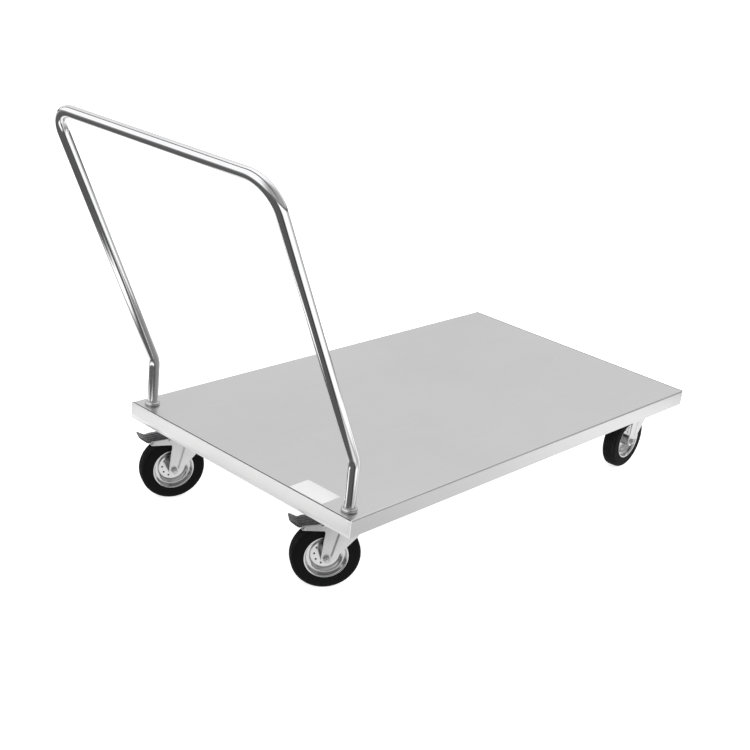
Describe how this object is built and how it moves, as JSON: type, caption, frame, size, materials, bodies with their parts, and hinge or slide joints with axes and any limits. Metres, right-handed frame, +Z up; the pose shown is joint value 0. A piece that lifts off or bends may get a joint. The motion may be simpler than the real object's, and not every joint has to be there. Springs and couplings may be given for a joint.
{
  "type": "platform trolley",
  "caption": "Stainless platform trolley with a folded sheet deck, a leaning bent-tube push handle and swivel castors, braked at the handle end.",
  "frame": {"origin": "bottom centre of the whole trolley's bounding box, on the floor", "axes": "+X is the direction of travel, away from the handle; +Y to the left; +Z up"},
  "size_m": [1.512, 0.703, 0.9328],
  "materials": {
    "deck_sheet": "brushed",
    "underframe": "mill",
    "handle_tube": "polished",
    "collar_steel": "polished",
    "fasteners": "zinc plated",
    "zinc_steel": "zinc plated, satin",
    "rim_steel": "zinc plated, bright",
    "bearing_steel": "ground",
    "tyre_rubber": "matt",
    "pedal_steel": "satin",
    "shoe_rubber": "matt",
    "label_film": "satin"
  },
  "bodies": {
    "chassis": {"deck_pan": "deck_sheet", "end_plate_rear": "deck_sheet", "end_plate_front": "deck_sheet", "cross_channel_rear": "underframe", "cross_channel_front": "underframe", "rib_left": "underframe", "rib_right": "underframe", "handle": "handle_tube", "collar_left": "collar_steel", "collar_right": "collar_steel", "socket_left": "underframe", "socket_right": "underframe", "handle_bolts": "fasteners", "castor_bolts": "fasteners", "label": "label_film", "plate_rl": "zinc_steel", "plate_rr": "zinc_steel", "plate_fl": "zinc_steel", "plate_fr": "zinc_steel"},
    "swivel_rl": {"fork_rl": "zinc_steel", "kingpin_rl": "fasteners", "race_rl": "bearing_steel", "axle_rl": "fasteners", "brake_pins_rl": "fasteners"},
    "wheel_rl": {"hub_rl": "bearing_steel", "disc_left_rl": "rim_steel", "disc_right_rl": "rim_steel", "tyre_rl": "tyre_rubber"},
    "brake_rl": {"pedal_rl": "pedal_steel", "brake_shoe_rl": "shoe_rubber"},
    "swivel_rr": {"fork_rr": "zinc_steel", "kingpin_rr": "fasteners", "race_rr": "bearing_steel", "axle_rr": "fasteners", "brake_pins_rr": "fasteners"},
    "wheel_rr": {"hub_rr": "bearing_steel", "disc_left_rr": "rim_steel", "disc_right_rr": "rim_steel", "tyre_rr": "tyre_rubber"},
    "brake_rr": {"pedal_rr": "pedal_steel", "brake_shoe_rr": "shoe_rubber"},
    "swivel_fl": {"fork_fl": "zinc_steel", "kingpin_fl": "fasteners", "race_fl": "bearing_steel", "axle_fl": "fasteners"},
    "wheel_fl": {"hub_fl": "bearing_steel", "disc_left_fl": "rim_steel", "disc_right_fl": "rim_steel", "tyre_fl": "tyre_rubber"},
    "swivel_fr": {"fork_fr": "zinc_steel", "kingpin_fr": "fasteners", "race_fr": "bearing_steel", "axle_fr": "fasteners"},
    "wheel_fr": {"hub_fr": "bearing_steel", "disc_left_fr": "rim_steel", "disc_right_fr": "rim_steel", "tyre_fr": "tyre_rubber"}
  },
  "joints": [
    {"name": "swivel_rl_turn", "type": "hinge", "parent": "chassis", "child": "swivel_rl", "pos_m": [-0.39297, 0.2555, 0.16], "axis": [0, 0, 1], "continuous": true},
    {"name": "wheel_rl_roll", "type": "hinge", "parent": "swivel_rl", "child": "wheel_rl", "pos_m": [-0.43122, 0.27285, 0.075], "axis": [0.4131, 0.9107, 0], "continuous": true},
    {"name": "brake_rl_press", "type": "hinge", "parent": "swivel_rl", "child": "brake_rl", "pos_m": [-0.44397, 0.27863, 0.1532], "axis": [-0.4131, -0.9107, 0], "range_deg": [0, 5]},
    {"name": "swivel_rr_turn", "type": "hinge", "parent": "chassis", "child": "swivel_rr", "pos_m": [-0.39297, -0.2555, 0.16], "axis": [0, 0, 1], "continuous": true},
    {"name": "wheel_rr_roll", "type": "hinge", "parent": "swivel_rr", "child": "wheel_rr", "pos_m": [-0.42691, -0.23075, 0.075], "axis": [0.5892, 0.808, 0], "continuous": true},
    {"name": "brake_rr_press", "type": "hinge", "parent": "swivel_rr", "child": "brake_rr", "pos_m": [-0.43822, -0.22251, 0.1532], "axis": [-0.5892, -0.808, 0], "range_deg": [0, 5]},
    {"name": "swivel_fl_turn", "type": "hinge", "parent": "chassis", "child": "swivel_fl", "pos_m": [0.69703, 0.2555, 0.16], "axis": [0, 0, 1], "continuous": true},
    {"name": "wheel_fl_roll", "type": "hinge", "parent": "swivel_fl", "child": "wheel_fl", "pos_m": [0.65628, 0.24534, 0.075], "axis": [-0.2419, 0.9703, 0], "continuous": true},
    {"name": "swivel_fr_turn", "type": "hinge", "parent": "chassis", "child": "swivel_fr", "pos_m": [0.69703, -0.2555, 0.16], "axis": [0, 0, 1], "continuous": true},
    {"name": "wheel_fr_roll", "type": "hinge", "parent": "swivel_fr", "child": "wheel_fr", "pos_m": [0.65511, -0.25806, 0.075], "axis": [-0.061, 0.9981, 0], "continuous": true}
  ]
}
